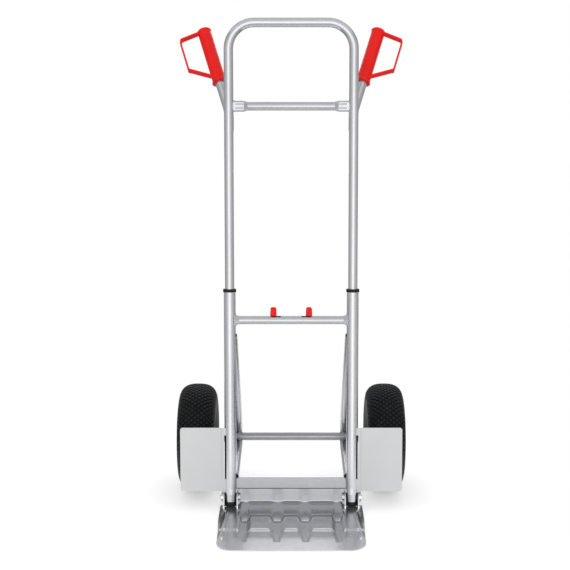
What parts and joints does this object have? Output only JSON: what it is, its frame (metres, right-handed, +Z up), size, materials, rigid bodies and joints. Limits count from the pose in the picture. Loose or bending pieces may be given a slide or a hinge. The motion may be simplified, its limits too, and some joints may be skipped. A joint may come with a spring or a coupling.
{
  "type": "hand truck",
  "caption": "Telescopic tube-frame hand truck with a folding pressed toe plate, pneumatic wheels, wheel guards, spring-pin height lock and two D-grips.",
  "frame": {"origin": "on the floor below the middle of the bounding box, with the toe plate and both wheels standing on z = 0", "axes": "+Z up, along the longest extent; the toe plate points to -Y, the wheels are at +Y; +X is to the right seen from the toe plate side"},
  "size_m": [0.566, 0.5354, 1.1586],
  "materials": {
    "tube_steel": "satin silver-grey powder coat",
    "guard_steel": "smooth light grey paint",
    "toe_steel": "satin silver-grey coat on pressed steel sheet",
    "axle_steel": "plain drawn steel",
    "zinc_hardware": "bright zinc plate",
    "bearing_steel": "ground steel",
    "rim_steel": "silver paint on pressed steel",
    "black_plastic": "fine matt moulded nylon",
    "red_plastic": "glossy moulded plastic",
    "tyre_rubber": "black tyre rubber with block tread",
    "tube_rubber": "smooth black rubber"
  },
  "bodies": {
    "frame": {"axle": "axle_steel", "axle_washers": "zinc_hardware", "cross_plate": "tube_steel", "left_axle_spacer": "axle_steel", "left_brace": "tube_steel", "left_collar": "black_plastic", "left_foot_plug": "black_plastic", "left_guard": "guard_steel", "left_lock_spring": "zinc_hardware", "left_upright": "tube_steel", "lock_stop": "black_plastic", "lower_crossbar": "tube_steel", "pin_guides": "black_plastic", "right_axle_spacer": "axle_steel", "right_brace": "tube_steel", "right_collar": "black_plastic", "right_foot_plug": "black_plastic", "right_guard": "guard_steel", "right_lock_spring": "zinc_hardware", "right_upright": "tube_steel", "split_pins": "zinc_hardware"},
    "hoop": {"hoop_tube": "tube_steel", "upper_crossbar": "tube_steel", "left_hoop_plug": "black_plastic", "left_grip_tube": "tube_steel", "left_grip": "red_plastic", "right_hoop_plug": "black_plastic", "right_grip_tube": "tube_steel", "right_grip": "red_plastic"},
    "toe": {"toe_plate": "toe_steel", "left_hinge_ears": "toe_steel", "left_hinge_bolt": "zinc_hardware", "left_hinge_nut": "zinc_hardware", "left_hinge_liners": "black_plastic", "right_hinge_ears": "toe_steel", "right_hinge_bolt": "zinc_hardware", "right_hinge_nut": "zinc_hardware", "right_hinge_liners": "black_plastic"},
    "left_lock": {"left_lock_pin": "axle_steel", "left_lock_knob": "red_plastic"},
    "left_wheel": {"left_tyre": "tyre_rubber", "left_inner_tube": "tube_rubber", "left_rim_outer": "rim_steel", "left_rim_inner": "rim_steel", "left_hub": "axle_steel", "left_bearings": "bearing_steel", "left_rim_bolts": "zinc_hardware", "left_rim_nuts": "zinc_hardware", "left_valve": "tube_rubber"},
    "right_lock": {"right_lock_pin": "axle_steel", "right_lock_knob": "red_plastic"},
    "right_wheel": {"right_tyre": "tyre_rubber", "right_inner_tube": "tube_rubber", "right_rim_outer": "rim_steel", "right_rim_inner": "rim_steel", "right_hub": "axle_steel", "right_bearings": "bearing_steel", "right_rim_bolts": "zinc_hardware", "right_rim_nuts": "zinc_hardware", "right_valve": "tube_rubber"}
  },
  "joints": [
    {"name": "hoop_slide", "type": "slide", "parent": "frame", "child": "hoop", "axis": [0, 0.0872, 0.9962], "range_m": [-0.35, 0]},
    {"name": "toe_fold", "type": "hinge", "parent": "frame", "child": "toe", "pos_m": [0, -0.02196, 0.03188], "axis": [1, 0, 0], "range_deg": [-95, 0]},
    {"name": "left_lock_slide", "type": "slide", "parent": "frame", "child": "left_lock", "axis": [1, 0, 0], "range_m": [0, 0.015], "stiffness_N_per_m": 600, "springref_m": -0.01, "deforming": ["left_lock_spring"]},
    {"name": "left_wheel_spin", "type": "hinge", "parent": "frame", "child": "left_wheel", "pos_m": [-0.2325, 0.13525, 0.1325], "axis": [1, 0, 0], "continuous": true},
    {"name": "right_lock_slide", "type": "slide", "parent": "frame", "child": "right_lock", "axis": [-1, 0, 0], "range_m": [0, 0.015], "stiffness_N_per_m": 600, "springref_m": -0.01, "deforming": ["right_lock_spring"]},
    {"name": "right_wheel_spin", "type": "hinge", "parent": "frame", "child": "right_wheel", "pos_m": [0.2325, 0.13525, 0.1325], "axis": [1, 0, 0], "continuous": true}
  ]
}
